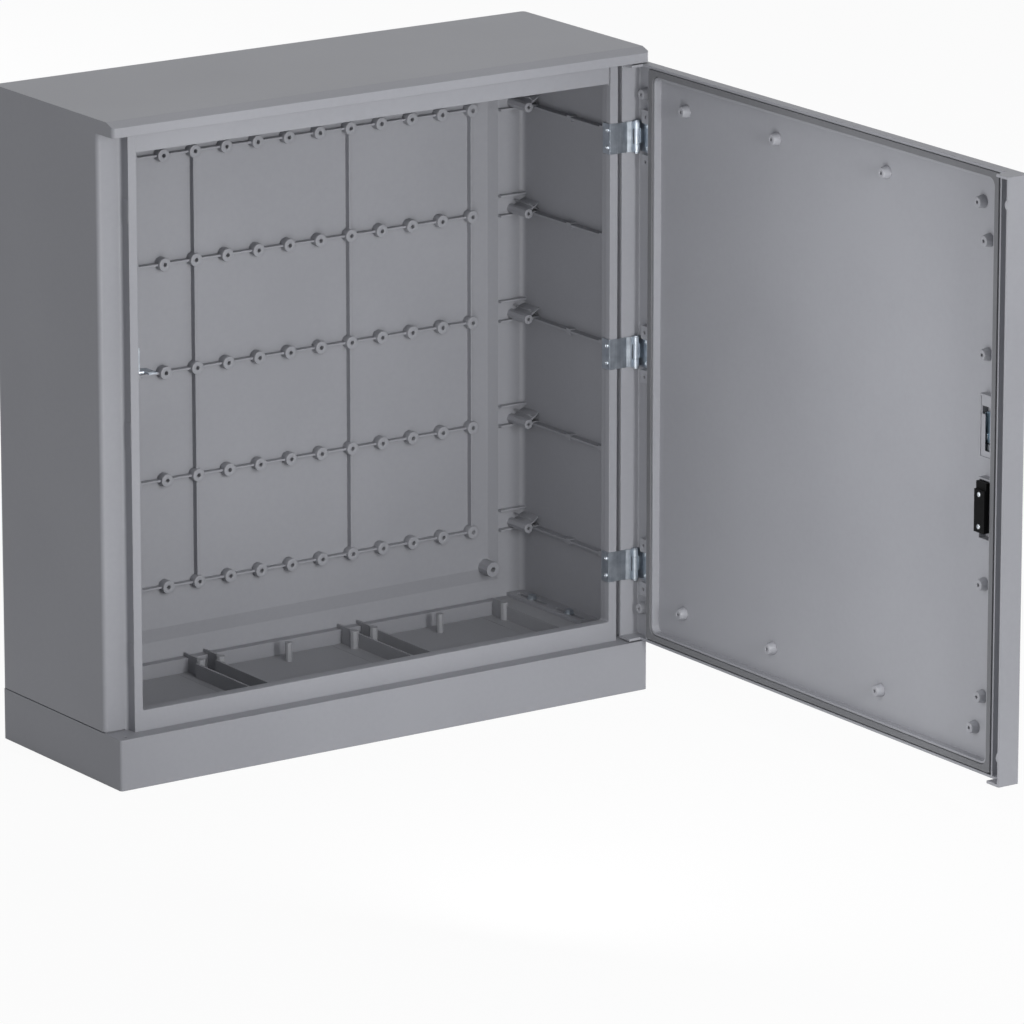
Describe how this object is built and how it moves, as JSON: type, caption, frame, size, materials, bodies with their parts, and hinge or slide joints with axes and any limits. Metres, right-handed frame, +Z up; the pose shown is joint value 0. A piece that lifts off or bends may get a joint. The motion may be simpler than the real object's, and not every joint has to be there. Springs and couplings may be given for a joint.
{
  "type": "roadside utility cabinet",
  "caption": "Low wide roadside utility cabinet in grey moulded plastic on a plinth, its hinged door open, with mounting bosses inside.",
  "frame": {"origin": "centre of the plinth's underside, at the middle of the four anchor holes", "axes": "+Z up, -Y towards the door side, +X to the hinge side"},
  "size_m": [0.8688, 1.124, 0.9],
  "materials": {
    "cabinet_plastic": "satin",
    "plinth_plastic": "satin",
    "door_plastic": "satin",
    "floor_plastic": "satin",
    "gasket_rubber": "matte",
    "black_plastic": "satin",
    "zinc_steel": "satin",
    "lock_steel": "satin"
  },
  "bodies": {
    "cabinet": {"body_shell": "cabinet_plastic", "clamp_strip_left": "floor_plastic", "clamp_strip_right": "floor_plastic", "end_rail_left": "floor_plastic", "end_rail_right": "floor_plastic", "floor_plate_left": "floor_plastic", "floor_plate_middle": "floor_plastic", "floor_plate_right": "floor_plastic", "hinge_body_leaf_bottom": "zinc_steel", "hinge_body_leaf_middle": "zinc_steel", "hinge_body_leaf_top": "zinc_steel", "hinge_body_screws": "zinc_steel", "plinth": "plinth_plastic", "plinth_bolts": "zinc_steel", "plinth_nuts": "zinc_steel", "plinth_washers": "zinc_steel", "strike_plate": "zinc_steel", "strike_screws": "zinc_steel"},
    "door": {"door_gasket": "gasket_rubber", "door_shell": "door_plastic", "handle_base": "black_plastic", "hinge_door_leaf_bottom": "zinc_steel", "hinge_door_leaf_middle": "zinc_steel", "hinge_door_leaf_top": "zinc_steel", "hinge_door_screws": "zinc_steel", "hinge_pin_bottom": "zinc_steel", "hinge_pin_middle": "zinc_steel", "hinge_pin_top": "zinc_steel", "lock_case": "lock_steel", "lock_cover": "black_plastic", "lock_cover_screws": "zinc_steel"},
    "handle": {"lock_spindle": "lock_steel", "handle_lever": "black_plastic"},
    "bolt": {"latch_bolt": "lock_steel"}
  },
  "joints": [
    {"name": "door_swing", "type": "hinge", "parent": "cabinet", "child": "door", "pos_m": [0.416, -0.133, 0.476], "axis": [0, 0, 1], "range_deg": [-90, 0]},
    {"name": "handle_turn", "type": "hinge", "parent": "door", "child": "handle", "pos_m": [0.4255, -0.91125, 0.527], "axis": [1, 0, 0], "range_deg": [0, 90]},
    {"name": "bolt_slide", "type": "slide", "parent": "door", "child": "bolt", "axis": [0, 0, 1], "range_m": [0, 0.007]}
  ],
  "couplings": [
    {"joint": "bolt_slide", "follows": "handle_turn", "m_per_rad": 0.004456}
  ]
}
